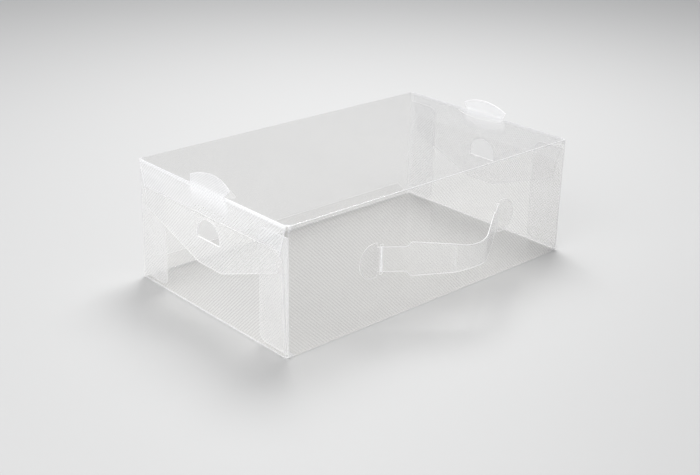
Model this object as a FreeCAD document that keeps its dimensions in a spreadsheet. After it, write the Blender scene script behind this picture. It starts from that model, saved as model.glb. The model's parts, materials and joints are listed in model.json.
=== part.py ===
# Fold-up see-through shoe box: a sleeve of four panels closed at each end by four folding flaps,
# with a carry strap buttoned through two slits in its front.
# Millimetres, +Z up, +X along the length; the origin is the middle of the underside.
# Every panel is thin sheet. A crease is a round bead along the edge of the panel that stays put, with
# the flap's sheet on the outer side of the bead's axis, so that the flap can swing about that axis.
import FreeCAD, Part
import math
import os
import Sketcher

DIMENSIONS = [
    ("box_length", 300.0),        # outside, over the two end panels
    ("box_width", 180.0),         # outside, over the front and back panels
    ("box_height", 100.0),        # outside, over the bottom and the lid
    ("sheet", 0.5),               # thickness of the plastic sheet
    ("crease_radius", 0.6),       # radius of the bead along every crease that moves
    ("crease_gap", 0.05),         # free space between a bead and its flap
    ("layer_gap", 0.35),          # free space between two flaps at one end
    ("bend_radius", 1.0),         # outside radius of the sleeve's four long bends
    ("crease_stop", 1.4),         # how far a bottom or lid crease ends from the sleeve's outside
    ("corner_relief", 1.6),       # radius of the nick where three creases meet
    ("end_panel_top", 79.5),      # height of the end panel's free edge
    ("end_panel_root_inset", 0.6),  # from the sleeve's outside in to its corner at the crease
    ("end_panel_side_inset", 4.3),  # and in to its side edge at the shoulder
    ("end_panel_shoulder", 72.0),  # height where its side edge turns into the corner
    ("end_panel_corner", 4.0),    # how far the corner steps in and down
    ("lid_flap_reach", 61.0),     # from the lid's crease down to the point of the flap
    ("lid_flap_side", 37.0),      # from the crease down to where the slanted edge starts
    ("lid_flap_root_inset", 1.6),
    ("lid_flap_waist_inset", 7.6),
    ("lid_flap_waist", 21.5),     # how far below the crease the side edge bends
    ("lid_flap_tip_inset", 9.8),
    ("lid_flap_point", 29.0),     # width of the flap's flat point
    ("lid_flap_corner", 4.5),
    ("thumb_width", 27.0),        # half-moon thumb hole through end panel and lid flap
    ("thumb_height", 16.5),
    ("thumb_bottom", 60.0),       # height of its flat side above the underside
    ("tongue_neck", 40.0),        # tongue of the lid flap that stands up through the lid
    ("tongue_head", 48.0),
    ("tongue_shoulder", 6.5),     # height of the head's widest place above the crease
    ("tongue_height", 12.5),
    ("tongue_clearance", 0.8),    # free space round the tongue when it lies in the lid's opening
    ("tongue_lean_left", 28.0),   # degrees that each tongue leans inwards
    ("tongue_lean_right", 8.0),
    ("dust_flap_width", 31.5),
    ("dust_flap_low", 3.0),
    ("dust_flap_high", 91.5),
    ("dust_flap_corner", 7.0),
    ("glue_flap_width", 12.0),
    ("glue_flap_taper", 12.0),
    ("slit_left", 60.0),          # distance of the left slit from the middle of the front
    ("slit_right", 67.5),
    ("slit_middle", 51.0),        # height of the slits' middle, and of the strap's
    ("slit_height", 24.0),
    ("slit_width", 3.0),
    ("strap_rise", 33.3),         # how far the strap's grip stands off the slits
    ("strap_run_left", 43.0),     # from each slit to the grip, along the box
    ("strap_run_right", 48.5),
    ("strap_inside", 2.0),        # length of neck between a slit and the crease of its head
    ("strap_bead", 0.45),
    ("neck_height", 20.0),
    ("neck_length", 21.0),
    ("shoulder_height", 27.5),
    ("shoulder_slope", 3.0),
    ("shoulder_round", 2.4),
    ("grip_turn", 36.0),          # degrees from the middle of the grip's arc to each end
    ("grip_end_height", 23.0),
    ("grip_height", 19.0),
    ("head_height", 27.0),
    ("head_length", 19.0),
    ("head_root", 1.2),           # width of the narrow root between a head's crease and its ears
]

document = FreeCAD.newDocument("shoe_box")
sheet = document.addObject("Spreadsheet::Sheet", "dims")
for row, (alias, number) in enumerate(DIMENSIONS, start=1):
    sheet.set("A%d" % row, alias)
    sheet.set("B%d" % row, str(number))
    sheet.setAlias("B%d" % row, alias)
document.recompute()


class Size:
    """A length together with the spreadsheet expression that gives it."""

    def __init__(self, number, text):
        self.number = number
        self.text = text

    @staticmethod
    def of(other):
        return other if isinstance(other, Size) else Size(other, "%g mm" % other)

    def __add__(self, other):
        other = Size.of(other)
        return Size(self.number + other.number, "(%s + %s)" % (self.text, other.text))

    def __sub__(self, other):
        other = Size.of(other)
        return Size(self.number - other.number, "(%s - %s)" % (self.text, other.text))

    def __mul__(self, factor):
        return Size(self.number * factor, "(%s * %g)" % (self.text, factor))

    def __neg__(self):
        return self * -1


def dim(alias):
    """The driving dimension of that name, in millimetres."""
    return Size(float(sheet.get(alias)), "(dims.%s * 1 mm)" % alias)


def value(alias):
    return float(sheet.get(alias))


TINY = 1e-6          # below this a length counts as nothing
SPOT_REACH = 0.01    # how near to a spot an edge has to pass
PARALLEL = 0.999     # cosine above which two directions count as one

ZERO = Size(0.0, "0 mm")
BEAD = dim("crease_radius")
SHEET = dim("sheet")
LIFT = BEAD - SHEET                     # from a crease's axis to the inner face of its flap
FLAP_START = BEAD + dim("crease_gap")   # from a crease's axis to the flap's own edge
LAYER = SHEET + dim("layer_gap")
HALF_LENGTH = dim("box_length") * 0.5
HALF_WIDTH = dim("box_width") * 0.5
HEIGHT = dim("box_height")
END_AXIS = HALF_LENGTH - BEAD           # the three layers of an end, from the outside in
LID_AXIS = END_AXIS - LAYER
DUST_AXIS = LID_AXIS - LAYER


def new_body(name):
    body = document.addObject("PartDesign::Body", name)
    body.Label = name
    return body


def plane(body, role):
    return next(feature for feature in body.Origin.OriginFeatures if feature.Role == role)


def new_sketch(body, role, name, lift=None, tilt=0.0):
    """A sketch on one of the body's own planes, raised along the plane's normal by lift."""
    sketch = body.newObject("Sketcher::SketchObject", name)
    sketch.AttachmentSupport = [(plane(body, role), "")]
    sketch.MapMode = "FlatFace"
    turn = FreeCAD.Rotation(FreeCAD.Vector(1, 0, 0), tilt)
    height = lift.number if lift else 0.0
    sketch.AttachmentOffset = FreeCAD.Placement(turn.multVec(FreeCAD.Vector(0, 0, height)), turn)
    if lift and not tilt:
        sketch.setExpression("AttachmentOffset.Base.z", lift.text)
    return sketch


def pin_point(sketch, geometry, end, point):
    """Fix one end of a line or arc at a point given by two Sizes."""
    for kind, size in (("DistanceX", point[0]), ("DistanceY", point[1])):
        if abs(size.number) < TINY:
            axis = -2 if kind == "DistanceX" else -1
            sketch.addConstraint(Sketcher.Constraint("PointOnObject", geometry, end, axis))
            continue
        index = sketch.addConstraint(Sketcher.Constraint(kind, -1, 1, geometry, end, size.number))
        sketch.setExpression("Constraints[%d]" % index, size.text)


def bind_radius(sketch, geometry, radius):
    index = sketch.addConstraint(Sketcher.Constraint("Radius", geometry, radius.number))
    sketch.setExpression("Constraints[%d]" % index, radius.text)


def draw_outline(sketch, points, bulges=None):
    """A closed outline through points. bulges maps the number of a side to the height of its arc."""
    bulges = bulges or {}
    first = sketch.GeometryCount
    count = len(points)
    corners = [FreeCAD.Vector(x.number, y.number, 0) for x, y in points]
    starts = []
    for side in range(count):
        start, end = corners[side], corners[(side + 1) % count]
        if side in bulges:
            chord = end - start
            middle = (start + end) * 0.5
            outwards = FreeCAD.Vector(chord.y, -chord.x, 0).normalize()
            crown = middle + outwards * bulges[side].number
            # a sketch's arcs run anticlockwise, so a side that turns clockwise is drawn backwards
            if (crown - start).cross(end - crown).z > 0:
                sketch.addGeometry(Part.Arc(start, crown, end), False)
                starts.append((1, 2))
            else:
                sketch.addGeometry(Part.Arc(end, crown, start), False)
                starts.append((2, 1))
        else:
            sketch.addGeometry(Part.LineSegment(start, end), False)
            starts.append((1, 2))
    for side in range(count):
        after = (side + 1) % count
        sketch.addConstraint(Sketcher.Constraint(
            "Coincident", first + side, starts[side][1], first + after, starts[after][0]))
    for side in range(count):
        pin_point(sketch, first + side, starts[side][0], points[side])
    for side, bulge in bulges.items():
        (x1, y1), (x2, y2) = points[side], points[(side + 1) % count]
        rise = bulge if bulge.number > 0 else -bulge
        half = math.hypot(x2.number - x1.number, y2.number - y1.number) / 2
        radius = (half ** 2 + rise.number ** 2) / (2 * rise.number)
        text = "((%s)^2 + (%s)^2 + 4 * %s^2) / (8 * %s)" % (
            (x2 - x1).text, (y2 - y1).text, rise.text, rise.text)
        bind_radius(sketch, first + side, Size(radius, text))


def draw_circle(sketch, centre, radius):
    index = sketch.addGeometry(Part.Circle(
        FreeCAD.Vector(centre[0].number, centre[1].number, 0), FreeCAD.Vector(0, 0, 1), radius.number))
    pin_point(sketch, index, 3, centre)
    bind_radius(sketch, index, radius)


def pad(body, sketch, length, middle=False):
    feature = body.newObject("PartDesign::Pad", sketch.Name + "_pad")
    feature.Profile = sketch
    feature.Midplane = middle
    feature.setExpression("Length", length.text)
    sketch.Visibility = False
    document.recompute()


def pocket_through(body, sketch):
    """Cut a sketch right through the body, both ways, and make sure that it cut something."""
    before = body.Shape.Volume
    feature = body.newObject("PartDesign::Pocket", sketch.Name + "_pocket")
    feature.Profile = sketch
    feature.Midplane = True
    feature.Type = 1
    sketch.Visibility = False
    document.recompute()
    if not body.Shape.Volume < before:
        raise RuntimeError("%s cut nothing" % feature.Name)


def round_edges(body, radius, spots, direction):
    """Round the edges along direction that pass through spots."""
    names = []
    for number, edge in enumerate(body.Shape.Edges, start=1):
        span = edge.Vertexes[-1].Point - edge.Vertexes[0].Point
        if span.Length < TINY or abs(span.normalize().dot(direction)) < PARALLEL:
            continue
        middle = edge.Vertexes[0].Point
        for spot in spots:
            offset = middle - spot
            if (offset - direction * offset.dot(direction)).Length < SPOT_REACH:
                names.append("Edge%d" % number)
    if len(names) != len(spots):
        raise RuntimeError("%s: found %d corners of %d" % (body.Name, len(names), len(spots)))
    base = body.Tip
    feature = body.newObject("PartDesign::Fillet", body.Name + "_round")
    feature.Base = (base, names)
    feature.setExpression("Radius", radius.text)
    document.recompute()


def frame(origin, across, away):
    """A placement whose X runs along a crease and whose Y runs away from it, along the flap."""
    outwards = across.cross(away)
    matrix = FreeCAD.Matrix(
        across.x, away.x, outwards.x, origin.x,
        across.y, away.y, outwards.y, origin.y,
        across.z, away.z, outwards.z, origin.z,
        0, 0, 0, 1)
    return FreeCAD.Placement(matrix)


def mirrored(points):
    """An outline's right half, from the crease outwards, and then its left half back again."""
    return points + [(-x, y) for x, y in reversed(points)]


UP = FreeCAD.Vector(0, 0, 1)
SIDES = (("left", -1), ("right", 1))


def thumb_hole(body, name, low, upright):
    """The half-moon thumb hole, flat side down, whose flat side is at local height low."""
    half = dim("thumb_width") * (0.5 if upright else -0.5)
    sketch = new_sketch(body, "XY_Plane", name)
    draw_outline(sketch, [(-half, low), (half, low)], {1: dim("thumb_height")})
    pocket_through(body, sketch)


def make_end_panel(name, side):
    """Outermost flap of an end: hinged at the bottom, with a thumb hole under its free edge."""
    body = new_body(name)
    wide = HALF_WIDTH - dim("end_panel_root_inset")
    narrow = HALF_WIDTH - dim("end_panel_side_inset")
    top = dim("end_panel_top") - BEAD
    shoulder = dim("end_panel_shoulder") - BEAD
    corner = dim("end_panel_corner")
    sketch = new_sketch(body, "XY_Plane", name + "_outline", LIFT)
    draw_outline(sketch, mirrored([
        (wide, FLAP_START), (narrow, shoulder), (narrow - corner, top)]))
    pad(body, sketch, SHEET)
    z = LIFT.number
    spots = [FreeCAD.Vector(s * (narrow - corner).number, top.number, z) for s in (1, -1)]
    spots += [FreeCAD.Vector(s * narrow.number, shoulder.number, z) for s in (1, -1)]
    round_edges(body, corner, spots, UP)
    thumb_hole(body, name + "_thumb", dim("thumb_bottom") - BEAD, True)
    body.Placement = frame(FreeCAD.Vector(side * END_AXIS.number, 0, BEAD.number),
                           FreeCAD.Vector(0, side, 0), UP)
    return body


def make_lid_flap(name, side, lean):
    """Flap hinged at the lid's end edge, and its tongue, which stands up through the lid."""
    body = new_body(name)
    sketch = new_sketch(body, "XY_Plane", name + "_outline", LIFT)
    half_neck = dim("tongue_neck") * 0.5
    reach = dim("lid_flap_reach")
    tip = HALF_WIDTH - dim("lid_flap_tip_inset")
    waist = HALF_WIDTH - dim("lid_flap_waist_inset")
    draw_outline(sketch, mirrored([
        (half_neck, ZERO), (half_neck, FLAP_START),
        (HALF_WIDTH - dim("lid_flap_root_inset"), FLAP_START),
        (waist, dim("lid_flap_waist")),
        (tip, dim("lid_flap_side")),
        (dim("lid_flap_point") * 0.5, reach)]))
    pad(body, sketch, SHEET)
    z = LIFT.number
    spots = [FreeCAD.Vector(s * tip.number, value("lid_flap_side"), z) for s in (1, -1)]
    round_edges(body, dim("lid_flap_corner"), spots, UP)
    thumb_hole(body, name + "_thumb", HEIGHT - BEAD - dim("thumb_bottom"), False)
    tongue = new_sketch(body, "XY_Plane", name + "_tongue", LIFT, tilt=lean)
    half_head = dim("tongue_head") * 0.5
    shoulder = -dim("tongue_shoulder")
    draw_outline(tongue, [
        (half_neck, ZERO), (-half_neck, ZERO), (-half_head, shoulder), (half_head, shoulder)],
        {2: dim("tongue_height") - dim("tongue_shoulder")})
    pad(body, tongue, SHEET)
    root = new_sketch(body, "YZ_Plane", name + "_root")
    draw_circle(root, (ZERO, ZERO), BEAD)
    pad(body, root, dim("tongue_neck"), middle=True)
    body.Placement = frame(FreeCAD.Vector(side * LID_AXIS.number, 0, (HEIGHT - BEAD).number),
                           FreeCAD.Vector(0, -side, 0), FreeCAD.Vector(0, 0, -1))
    return body


def make_dust_flap(name, side, front):
    """Narrow innermost flap, hinged on the end of the front or back panel."""
    body = new_body(name)
    inwards = FreeCAD.Vector(0, front, 0)
    across = inwards.cross(FreeCAD.Vector(side, 0, 0))
    upright = across.z
    low = dim("dust_flap_low") * upright
    high = dim("dust_flap_high") * upright
    free = dim("dust_flap_width")
    sketch = new_sketch(body, "XY_Plane", name + "_outline", LIFT)
    draw_outline(sketch, [(low, FLAP_START), (high, FLAP_START), (high, free), (low, free)])
    pad(body, sketch, SHEET)
    z = LIFT.number
    spots = [FreeCAD.Vector(low.number, free.number, z), FreeCAD.Vector(high.number, free.number, z)]
    round_edges(body, dim("dust_flap_corner"), spots, UP)
    body.Placement = frame(
        FreeCAD.Vector(side * DUST_AXIS.number, -front * (HALF_WIDTH - BEAD).number, 0), across, inwards)
    return body


def add_beads(body, role, name, centres, length, lift=None):
    """Round crease beads along the edges of a panel."""
    sketch = new_sketch(body, role, name, lift)
    for centre in centres:
        draw_circle(sketch, centre, BEAD)
    pad(body, sketch, length, middle=lift is None)


def flat_panel(name, axis, low, bead_height):
    """The bottom or the lid: a flat sheet between the long bends, with a bead at each end."""
    body = new_body(name)
    half = HALF_WIDTH - dim("bend_radius")
    sketch = new_sketch(body, "XY_Plane", name + "_outline", low)
    draw_outline(sketch, [(-axis, -half), (axis, -half), (axis, half), (-axis, half)])
    pad(body, sketch, SHEET)
    add_beads(body, "XZ_Plane", name + "_creases",
              [(-axis, bead_height), (axis, bead_height)], dim("box_width") - dim("crease_stop") * 2)
    return body


def make_bottom_panel():
    return flat_panel("bottom_panel", END_AXIS, ZERO, BEAD)


def make_top_panel():
    """The lid, with an opening at each end that the lid flap's tongue is cut from."""
    body = flat_panel("top_panel", LID_AXIS, HEIGHT - SHEET, HEIGHT - BEAD)
    clear = dim("tongue_clearance")
    neck = dim("tongue_neck") * 0.5 + clear
    head = dim("tongue_head") * 0.5 + clear
    bulge = dim("tongue_height") - dim("tongue_shoulder")
    for label, side in SIDES:
        edge = (LID_AXIS + BEAD * 2) * side
        crease = LID_AXIS * side
        shoulder = (LID_AXIS - dim("tongue_shoulder")) * side
        points = [(edge, neck), (crease, neck), (shoulder, head),
                  (shoulder, -head), (crease, -neck), (edge, -neck)]
        if side < 0:
            points = [(x, -y) for x, y in points]
        sketch = new_sketch(body, "XY_Plane", "top_panel_opening_" + label)
        draw_outline(sketch, points, {2: bulge + clear})
        pocket_through(body, sketch)
    reliefs = new_sketch(body, "XY_Plane", "top_panel_reliefs")
    for side in (1, -1):
        for front in (1, -1):
            centre = (LID_AXIS * side, (HALF_WIDTH - dim("bend_radius")) * front)
            draw_circle(reliefs, centre, dim("corner_relief"))
    pocket_through(body, reliefs)
    return body


def wall_panel(name, front):
    """The front or back of the sleeve, with its two long bends and a bead at each end."""
    body = new_body(name)
    outer = HALF_WIDTH * front
    inner = (HALF_WIDTH - SHEET) * front
    edge = (HALF_WIDTH - dim("bend_radius")) * front
    bend = dim("bend_radius")
    points = [(edge, ZERO), (outer, bend), (outer, HEIGHT - bend), (edge, HEIGHT),
              (edge, HEIGHT - SHEET), (inner, HEIGHT - bend), (inner, bend), (edge, SHEET)]
    sagitta = 1 - math.sqrt(0.5)
    outside = bend * (sagitta * front)
    inside = (bend - SHEET) * (-sagitta * front)
    sketch = new_sketch(body, "YZ_Plane", name + "_section")
    draw_outline(sketch, points, {0: outside, 2: outside, 4: inside, 6: inside})
    pad(body, sketch, DUST_AXIS * 2, middle=True)
    axis_y = (HALF_WIDTH - BEAD) * front
    add_beads(body, "XY_Plane", name + "_creases", [(-DUST_AXIS, axis_y), (DUST_AXIS, axis_y)],
              dim("dust_flap_high") - dim("dust_flap_low"), lift=dim("dust_flap_low"))
    return body


def make_front_panel():
    body = wall_panel("front_panel", -1)
    sketch = new_sketch(body, "XZ_Plane", "front_panel_slits")
    half_wide = dim("slit_width") * 0.5
    low = dim("slit_middle") - dim("slit_height") * 0.5
    high = dim("slit_middle") + dim("slit_height") * 0.5
    for middle in (-dim("slit_left"), dim("slit_right")):
        left, right = middle - half_wide, middle + half_wide
        draw_outline(sketch, [(left, low), (right, low), (right, high), (left, high)])
    pocket_through(body, sketch)
    return body


def make_glue_flap():
    """Seam that closes the sleeve: it runs up inside the back panel from the bottom's edge."""
    body = new_body("glue_flap")
    half = DUST_AXIS - BEAD - dim("layer_gap")
    low = dim("bend_radius") + SHEET
    high = low + dim("glue_flap_width")
    taper = dim("glue_flap_taper")
    sketch = new_sketch(body, "XZ_Plane", "glue_flap_outline", SHEET - HALF_WIDTH)
    draw_outline(sketch, [(-half, low), (half, low), (half - taper, high), (taper - half, high)])
    pad(body, sketch, SHEET)
    return body


# The strap, in plan: each arm is a straight run from the crease of its head, inside the front, out
# through the slit to the grip; the grip is an arc between the two arms.
SLIT_Y = -(value("box_width") - value("sheet")) / 2
GRIP_Y = SLIT_Y - value("strap_rise")
STRAP_Z = value("slit_middle")


def strap_side(side):
    """The grip's end, the crease of the head, and the arm's direction from crease to grip."""
    label = "left" if side < 0 else "right"
    slit = FreeCAD.Vector(side * value("slit_" + label), SLIT_Y, STRAP_Z)
    grip_end = FreeCAD.Vector(slit.x - side * value("strap_run_" + label), GRIP_Y, STRAP_Z)
    along = (grip_end - slit).normalize()
    crease = slit - along * value("strap_inside")
    return grip_end, crease, along


def make_strap_arm(name, side):
    """Neck and shoulders: the flat run of the strap between a head's crease and the grip."""
    body = new_body(name)
    grip_end, crease, along = strap_side(side)
    run = "strap_run_left" if side < 0 else "strap_run_right"
    length = dim("strap_inside") + Size(
        math.hypot(value("strap_rise"), value(run)), "sqrt(dims.strap_rise^2 + dims.%s^2) * 1 mm" % run)
    neck = dim("neck_height") * 0.5
    shoulder = dim("shoulder_height") * 0.5
    grip = dim("grip_end_height") * 0.5
    start = dim("neck_length")
    finish = length - dim("strap_bead") - dim("crease_gap")
    sketch = new_sketch(body, "XY_Plane", name + "_outline", SHEET * -0.5)
    points = [(ZERO, neck), (start, neck), (start + dim("shoulder_slope"), shoulder), (finish, grip)]
    draw_outline(sketch, points + [(x, -y) for x, y in reversed(points)])
    pad(body, sketch, SHEET)
    z = -SHEET.number / 2
    spots = [FreeCAD.Vector(start.number + value("shoulder_slope"), s * shoulder.number, z) for s in (1, -1)]
    spots += [FreeCAD.Vector(start.number, s * neck.number, z) for s in (1, -1)]
    round_edges(body, dim("shoulder_round"), spots, UP)
    bead = new_sketch(body, "XZ_Plane", name + "_crease")
    draw_circle(bead, (ZERO, ZERO), dim("strap_bead"))
    pad(body, bead, dim("neck_height"), middle=True)
    body.Placement = frame(crease, along, UP)
    return body


def make_strap_head(name, side):
    """Half-moon head that lies behind the front panel and keeps the strap in its slit."""
    body = new_body(name)
    crease = strap_side(side)[1]
    neck = dim("neck_height") * 0.5
    half = dim("head_height") * 0.5
    start = dim("strap_bead") + dim("crease_gap")
    ears = start + dim("head_root")
    sketch = new_sketch(body, "XY_Plane", name + "_outline", SHEET * -0.5)
    draw_outline(sketch, [
        (start, -neck), (ears, -neck), (ears, -half), (ears, half), (ears, neck), (start, neck)],
        {2: dim("head_length") - ears})
    pad(body, sketch, SHEET)
    body.Placement = frame(crease, FreeCAD.Vector(side, 0, 0), UP)
    return body


def make_strap_grip():
    """Middle of the strap: an arc in plan, narrowest in the middle."""
    name = "strap_grip"
    body = new_body(name)
    turn = math.radians(value("grip_turn"))
    span = (dim("slit_left") + dim("slit_right") - dim("strap_run_left") - dim("strap_run_right")) * 0.5
    radius = span * (1 / math.sin(turn))
    drop = radius * math.cos(turn)
    outer = radius + SHEET * 0.5
    inner = radius - SHEET * 0.5
    corners = []
    for size, hand in ((outer, -1), (outer, 1), (inner, 1), (inner, -1)):
        corners.append((size * (hand * math.sin(turn)), drop - size * math.cos(turn)))
    crown = 1 - math.cos(turn)
    tall = dim("grip_end_height")
    plan = new_sketch(body, "XY_Plane", name + "_plan")
    draw_outline(plan, corners, {0: outer * crown, 2: inner * -crown})
    pad(body, plan, tall, middle=True)
    creases = new_sketch(body, "XY_Plane", name + "_creases")
    for hand in (-1, 1):
        draw_circle(creases, (span * hand, ZERO), dim("strap_bead"))
    pad(body, creases, tall, middle=True)
    waist = new_sketch(body, "XZ_Plane", name + "_waist")
    dip = (tall - dim("grip_height")) * 0.5
    for hand in (1, -1):
        edge = tall * (0.5 * hand)
        draw_outline(waist, [(-span, edge), (span, edge)], {0: dip * hand})
    pocket_through(body, waist)
    left = strap_side(-1)[0]
    right = strap_side(1)[0]
    body.Placement = FreeCAD.Placement(
        FreeCAD.Vector((left.x + right.x) / 2, GRIP_Y, STRAP_Z), FreeCAD.Rotation())
    return body


def make_all():
    """Every piece of the box, in the order in which it is folded."""
    pieces = [
        make_bottom_panel(),
        make_front_panel(),
        wall_panel("back_panel", 1),
        make_top_panel(),
        make_glue_flap(),
    ]
    for label, side in SIDES:
        for place, front in (("front", 1), ("back", -1)):
            pieces.append(make_dust_flap("%s_%s_dust_flap" % (label, place), side, front))
        pieces.append(make_lid_flap(label + "_lid_flap", side, value("tongue_lean_" + label)))
        pieces.append(make_end_panel(label + "_end_panel", side))
    pieces.append(make_strap_grip())
    for label, side in SIDES:
        pieces.append(make_strap_arm("strap_%s_arm" % label, side))
        pieces.append(make_strap_head("strap_%s_head" % label, side))
    return pieces


pieces = make_all()
document.recompute()
for item in document.Objects:
    if "Invalid" in item.State or "Error" in item.State:
        raise RuntimeError("%s did not recompute: %s" % (item.Name, item.State))
os.makedirs("parts", exist_ok=True)
for piece in pieces:
    if piece.Shape.isNull() or not piece.Shape.isValid():
        raise RuntimeError("%s has no valid shape" % piece.Label)
    piece.Shape.exportStep("parts/%s.step" % piece.Label)
    box = piece.Shape.BoundBox
    print("%-24s %9.1f mm3  x %7.2f %7.2f  y %7.2f %7.2f  z %7.2f %7.2f" % (
        piece.Label, piece.Shape.Volume, box.XMin, box.XMax, box.YMin, box.YMax, box.ZMin, box.ZMax))
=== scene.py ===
# Looks of the fold-up see-through shoe box: one continuous folded sheet with flaps, and a carry strap.
# Everything is in metres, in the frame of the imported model.
import json
import math

import bmesh
import bpy
import numpy as np
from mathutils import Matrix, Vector, noise
from mathutils.geometry import delaunay_2d_cdt


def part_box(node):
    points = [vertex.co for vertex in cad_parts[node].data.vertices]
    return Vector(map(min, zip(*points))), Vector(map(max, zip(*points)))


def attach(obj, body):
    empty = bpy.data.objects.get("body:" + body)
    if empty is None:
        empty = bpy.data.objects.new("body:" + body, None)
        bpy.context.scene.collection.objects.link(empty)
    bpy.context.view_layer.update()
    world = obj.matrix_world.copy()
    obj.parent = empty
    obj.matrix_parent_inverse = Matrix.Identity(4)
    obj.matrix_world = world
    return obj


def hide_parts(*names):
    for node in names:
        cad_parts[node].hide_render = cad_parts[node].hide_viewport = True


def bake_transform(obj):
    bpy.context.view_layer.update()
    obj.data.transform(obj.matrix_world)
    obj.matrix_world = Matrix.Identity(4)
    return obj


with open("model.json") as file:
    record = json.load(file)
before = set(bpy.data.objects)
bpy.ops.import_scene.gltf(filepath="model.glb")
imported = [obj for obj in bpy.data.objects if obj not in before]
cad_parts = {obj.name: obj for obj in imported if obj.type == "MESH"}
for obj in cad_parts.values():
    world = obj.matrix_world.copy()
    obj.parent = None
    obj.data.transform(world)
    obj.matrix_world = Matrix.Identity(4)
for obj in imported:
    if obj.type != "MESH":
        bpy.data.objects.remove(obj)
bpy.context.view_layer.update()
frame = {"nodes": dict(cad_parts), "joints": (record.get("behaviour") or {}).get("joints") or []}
JOINTS = {joint["name"]: joint for joint in frame["joints"]}
MM = 0.001
UP = Vector((0, 0, 1))
ACROSS = Vector((0, 1, 0))
FRONT = Vector((0, -1, 0))  # the way the front panel looks

# Tolerances, in metres unless they say otherwise.
SAME_POINT = 2e-6       # corners of the model's triangles that are one point
SAME_PLANE = 5e-5       # faces that lie in one plane
SAME_WAY = 0.9998       # cosine between normals that look the same way
SHORTEST_SIDE = 1e-5    # a shorter side of an outline is left out when the outline is moved
MESH_GAP = 1e-7         # what the triangulation takes as one point
PAST_END = 1e-6         # a point this far past a section's end still belongs to it
ON_LINE = 3e-5          # a point this near a crease lies on it
SMALLEST_HOLE = 20e-6   # square metres: a smaller loop inside an outline isn't a hole to cut
NOT_ZERO = 1e-18        # square metres: stands in for 0 where a side without length would divide by it

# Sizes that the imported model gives.
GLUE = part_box("glue_flap")
THICK = GLUE[1].y - GLUE[0].y
HALF_W = -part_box("front_panel")[0].y
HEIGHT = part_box("top_panel")[1].z
BEND = HALF_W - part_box("top_panel")[1].y
END_AXIS = Vector(JOINTS["right_end_panel_hinge"]["pos_m"])
LID_AXIS = Vector(JOINTS["right_lid_flap_hinge"]["pos_m"])
DUST_AXIS = Vector(JOINTS["right_back_dust_flap_hinge"]["pos_m"])
CREASE = END_AXIS.z
HALF_L = END_AXIS.x + CREASE
FLAP_START = 0.65 * MM  # from a crease's line to where its flap's own sheet starts


# ---------------------------------------------------------------- outlines of the model's flat parts
def flat_loops(node, normal):
    """Outlines of the node's outermost flat face that looks along normal, the largest first."""
    normal = Vector(normal).normalized()
    mesh = bmesh.new()
    mesh.from_mesh(frame["nodes"][node].data)
    bmesh.ops.remove_doubles(mesh, verts=mesh.verts, dist=SAME_POINT)
    mesh.normal_update()
    facing = [f for f in mesh.faces if f.normal.dot(normal) > SAME_WAY]
    far = max(f.calc_center_median().dot(normal) for f in facing)
    flat = {f for f in facing if abs(f.calc_center_median().dot(normal) - far) < SAME_PLANE}
    rim = [e for e in mesh.edges if len(flat.intersection(e.link_faces)) == 1]
    following = {}
    for edge in rim:
        for vert in edge.verts:
            following.setdefault(vert, []).append(edge)
    loops, taken = [], set()
    for edge in rim:
        if edge in taken:
            continue
        taken.add(edge)
        start, here = edge.verts
        loop = [start.co.copy()]
        while here is not start:
            loop.append(here.co.copy())
            onward = [e for e in following[here] if e not in taken]
            if not onward:
                break
            taken.add(onward[0])
            here = onward[0].other_vert(here)
        loops.append(loop)
    mesh.free()
    return sorted(loops, key=lambda loop: -area_of(loop, normal))


def area_of(loop, normal):
    """Area inside a loop that lies across normal."""
    total = Vector()
    for a, b in zip(loop, loop[1:] + loop[:1]):
        total += a.cross(b)
    return abs(total.dot(normal)) / 2


def steepest_face(node, above, side):
    """Normal of the node's largest flat face above a height that looks out of that side."""
    best, largest = None, 0.0
    for polygon in frame["nodes"][node].data.polygons:
        if polygon.center.z > above and polygon.normal.x * side > 0.5 and polygon.area > largest:
            best, largest = polygon.normal.copy(), polygon.area
    return best


# ---------------------------------------------------------------- sheets
RIM_WIDTH = 1.0 * MM    # how far in from a cut edge the plastic has turned white
RIM_ROWS = (0.55, 1.1)  # where the rows of points along a rim lie, in rim widths
BEND_STEPS = 6          # straight parts round a bend
SPIKE = 0.3             # a corner is left out where its sides' normals add up to less than this
MITRE = 0.4             # a moved corner goes no further than its depth divided by this


def inside(points, loop):
    """Which of the points lie inside a closed loop."""
    x, y = points[:, 0], points[:, 1]
    result = np.zeros(len(points), bool)
    for (x1, y1), (x2, y2) in zip(loop, loop[1:] + loop[:1]):
        if y1 != y2:
            result ^= ((y1 > y) != (y2 > y)) & (x < (x2 - x1) * (y - y1) / (y2 - y1) + x1)
    return result


def inside_any(points, loops):
    """Which of the points lie inside at least one of the loops."""
    result = np.zeros(len(points), bool)
    for loop in loops:
        result |= inside(points, loop)
    return result


def split(a, b, step):
    """Points from a up to but not including b, no further apart than step and closer near the ends."""
    long = math.hypot(b[0] - a[0], b[1] - a[1])
    count = max(1, math.ceil(long / step))
    places = {i / count for i in range(count)}
    if long > 4 * step:
        for near in (0.5 * MM, 1.5 * MM, 3 * MM, 5 * MM):
            places |= {near / long, 1 - near / long}
    return [(a[0] + (b[0] - a[0]) * t, a[1] + (b[1] - a[1]) * t) for t in sorted(places)]


def divided(loop, step):
    """The loop with its long sides split, so that what is worked out at its corners stays there."""
    return [p for a, b in zip(loop, list(loop[1:]) + [loop[0]]) for p in split(a, b, step)]


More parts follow.
